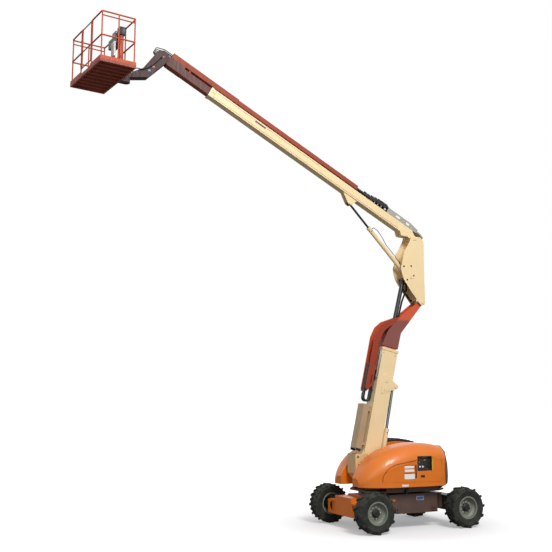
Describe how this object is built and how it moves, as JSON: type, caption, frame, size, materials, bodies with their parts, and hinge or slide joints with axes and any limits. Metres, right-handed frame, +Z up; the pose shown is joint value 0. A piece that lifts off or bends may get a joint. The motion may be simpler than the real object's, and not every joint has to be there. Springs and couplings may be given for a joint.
{
  "type": "articulating boom lift",
  "caption": "Self-propelled articulating boom lift with a telescopic tower, an upright, a telescopic main boom and a railed work platform.",
  "frame": {"origin": "on the ground under the slewing axis, midway between the axles", "axes": "+X forward towards the platform, +Y the machine's left, +Z up"},
  "size_m": [9.5711, 2.44, 10.977],
  "materials": {
    "orange_paint": "gloss",
    "red_paint": "gloss",
    "cream_paint": "gloss",
    "dark_paint": "satin",
    "hood_orange": "gloss",
    "black_plastic": "matte",
    "grey_tray": "satin",
    "bright_steel": "polished",
    "brown_paint": "satin",
    "black_rubber": "matte",
    "cylinder_black": "satin",
    "tyre": "matte",
    "rim_grey": "satin",
    "hub_dark": "satin",
    "cast_iron": "matte"
  },
  "bodies": {
    "chassis": {"chassis_frame": "orange_paint", "slew_ring": "dark_paint", "front_axle": "orange_paint", "rear_axle": "dark_paint"},
    "steer_left": {"knuckle_left": "dark_paint"},
    "steer_right": {"knuckle_right": "dark_paint"},
    "tie_rod": {"tie_rod": "bright_steel"},
    "wheel_front_left": {"tyre_front_left": "tyre", "rim_front_left": "rim_grey", "hub_front_left": "hub_dark"},
    "wheel_front_right": {"tyre_front_right": "tyre", "rim_front_right": "rim_grey", "hub_front_right": "hub_dark"},
    "wheel_rear_left": {"tyre_rear_left": "tyre", "rim_rear_left": "rim_grey", "hub_rear_left": "hub_dark"},
    "wheel_rear_right": {"tyre_rear_right": "tyre", "rim_rear_right": "rim_grey", "hub_rear_right": "hub_dark"},
    "turntable": {"turntable_frame": "red_paint", "tower_pivot_frame": "cream_paint", "hood_left": "hood_orange", "hood_right": "hood_orange", "engine_cover": "black_plastic", "counterweight": "cast_iron", "engine_block": "cast_iron", "ground_control": "black_plastic"},
    "door_left": {"hood_door_left": "hood_orange"},
    "door_right": {"hood_door_right": "hood_orange"},
    "tower": {"tower_base": "cream_paint", "hose_trough": "grey_tray"},
    "tower_barrel": {"tower_lift_barrel": "cream_paint"},
    "tower_rod": {"tower_lift_rod": "bright_steel"},
    "tower_fly": {"tower_fly": "red_paint", "tower_head": "red_paint", "hose_guard": "red_paint", "level_rod": "bright_steel"},
    "tower_chain": {"tower_track": "black_plastic"},
    "level_barrel": {"level_barrel": "cylinder_black", "level_hoses": "black_rubber"},
    "upright": {"upright": "cream_paint", "upright_hoses": "black_rubber"},
    "boom": {"boom_base": "cream_paint", "hose_tray": "grey_tray"},
    "boom_barrel": {"boom_lift_barrel": "cream_paint", "lift_hoses": "black_rubber"},
    "boom_rod": {"boom_lift_rod": "bright_steel"},
    "boom_fly": {"boom_fly": "red_paint", "boom_nose": "red_paint", "hose_carrier": "red_paint", "nose_hoses": "black_rubber"},
    "boom_chain": {"boom_track": "black_plastic"},
    "support": {"platform_support": "brown_paint", "support_hose": "black_rubber"},
    "platform": {"platform_floor": "red_paint", "toe_board": "red_paint", "guard_rails": "red_paint", "platform_console": "dark_paint", "platform_bracket": "red_paint"},
    "gate": {"platform_gate": "red_paint"}
  },
  "joints": [
    {"name": "steer_left", "type": "hinge", "parent": "chassis", "child": "steer_left", "pos_m": [1.23, 0.8, 0.46], "axis": [0, 0, 1], "range_deg": [-35, 35]},
    {"name": "steer_right", "type": "hinge", "parent": "chassis", "child": "steer_right", "pos_m": [1.23, -0.8, 0.46], "axis": [0, 0, 1], "range_deg": [-35, 35]},
    {"name": "tie_rod_slide", "type": "slide", "parent": "chassis", "child": "tie_rod", "axis": [0, 1, 0], "range_m": [-0.14, 0.14]},
    {"name": "wheel_front_left", "type": "hinge", "parent": "steer_left", "child": "wheel_front_left", "pos_m": [1.23, 1.0425, 0.46], "axis": [0, 1, 0], "continuous": true},
    {"name": "wheel_front_right", "type": "hinge", "parent": "steer_right", "child": "wheel_front_right", "pos_m": [1.23, -1.0425, 0.46], "axis": [0, 1, 0], "continuous": true},
    {"name": "wheel_rear_left", "type": "hinge", "parent": "chassis", "child": "wheel_rear_left", "pos_m": [-1.23, 1.0425, 0.46], "axis": [0, 1, 0], "continuous": true},
    {"name": "wheel_rear_right", "type": "hinge", "parent": "chassis", "child": "wheel_rear_right", "pos_m": [-1.23, -1.0425, 0.46], "axis": [0, 1, 0], "continuous": true},
    {"name": "slew", "type": "hinge", "parent": "chassis", "child": "turntable", "pos_m": [0, 0, 0.83], "axis": [0, 0, 1], "continuous": true},
    {"name": "door_left", "type": "hinge", "parent": "turntable", "child": "door_left", "pos_m": [-0.664, 1.005, 1.3], "axis": [0, 0, 1], "range_deg": [0, 100]},
    {"name": "door_right", "type": "hinge", "parent": "turntable", "child": "door_right", "pos_m": [-0.664, -1.005, 1.3], "axis": [0, 0, -1], "range_deg": [0, 100]},
    {"name": "tower_lift", "type": "hinge", "parent": "turntable", "child": "tower", "pos_m": [1.02, 0, 1.5], "axis": [0, -1, 0], "range_deg": [0, 74]},
    {"name": "tower_lift_barrel", "type": "hinge", "parent": "turntable", "child": "tower_barrel", "pos_m": [0.462, 0, 0.965], "axis": [0, -1, 0], "range_deg": [0, 77]},
    {"name": "tower_lift_rod", "type": "slide", "parent": "tower_barrel", "child": "tower_rod", "axis": [-0.1954, 0, 0.9807], "range_m": [-0.94, 0]},
    {"name": "tower_telescope", "type": "slide", "parent": "tower", "child": "tower_fly", "axis": [-0.2267, 0, 0.974], "range_m": [0, 1.25]},
    {"name": "tower_chain", "type": "slide", "parent": "tower", "child": "tower_chain", "axis": [-0.2267, 0, 0.974], "range_m": [0, 0.63]},
    {"name": "upright_level", "type": "hinge", "parent": "tower_fly", "child": "upright", "pos_m": [-0.81041, 0, 5.35958], "axis": [0, -1, 0], "range_deg": [-74, 0]},
    {"name": "level_barrel_slide", "type": "slide", "parent": "tower_fly", "child": "level_barrel", "axis": [-0.2553, 0, 0.9669], "range_m": [-0.87, 0]},
    {"name": "boom_lift", "type": "hinge", "parent": "upright", "child": "boom", "pos_m": [-0.62, 0, 6.96], "axis": [0, -1, 0], "range_deg": [-28, 44]},
    {"name": "boom_lift_barrel", "type": "hinge", "parent": "upright", "child": "boom_barrel", "pos_m": [-0.5, 0, 5.98], "axis": [0, -1, 0], "range_deg": [-21, 33]},
    {"name": "boom_lift_rod", "type": "slide", "parent": "boom_barrel", "child": "boom_rod", "axis": [0.692, 0, 0.7219], "range_m": [-0.36, 0.57]},
    {"name": "boom_telescope", "type": "slide", "parent": "boom", "child": "boom_fly", "axis": [0.8829, 0, 0.4695], "range_m": [-0.55, 3.6]},
    {"name": "boom_chain", "type": "slide", "parent": "boom", "child": "boom_chain", "axis": [0.8829, 0, 0.4695], "range_m": [-0.28, 1.8]},
    {"name": "platform_level", "type": "hinge", "parent": "boom_fly", "child": "support", "pos_m": [5.94991, 0, 10.60051], "axis": [0, -1, 0], "range_deg": [-44, 28]},
    {"name": "platform_swing", "type": "hinge", "parent": "support", "child": "platform", "pos_m": [6.82, 0, 10], "axis": [0, 0, 1], "range_deg": [-98, 82]},
    {"name": "gate", "type": "hinge", "parent": "platform", "child": "gate", "pos_m": [7.77368, -0.14872, 10.4], "axis": [0, 0, 1], "range_deg": [0, 88]}
  ],
  "couplings": [
    {"joint": "steer_right", "follows": "steer_left", "ratio": 1},
    {"joint": "tie_rod_slide", "follows": "steer_left", "m_per_rad": -0.22},
    {"joint": "tower_lift_barrel", "follows": "tower_lift", "ratio": 1.038},
    {"joint": "tower_lift_rod", "follows": "tower_lift", "m_per_rad": -0.7217},
    {"joint": "tower_chain", "follows": "tower_telescope", "ratio": 0.5},
    {"joint": "upright_level", "follows": "tower_lift", "ratio": -1},
    {"joint": "level_barrel_slide", "follows": "tower_lift", "m_per_rad": -0.663},
    {"joint": "boom_lift_barrel", "follows": "boom_lift", "ratio": 0.73},
    {"joint": "boom_lift_rod", "follows": "boom_lift", "m_per_rad": 0.73},
    {"joint": "boom_chain", "follows": "boom_telescope", "ratio": 0.5},
    {"joint": "platform_level", "follows": "boom_lift", "ratio": -1}
  ]
}
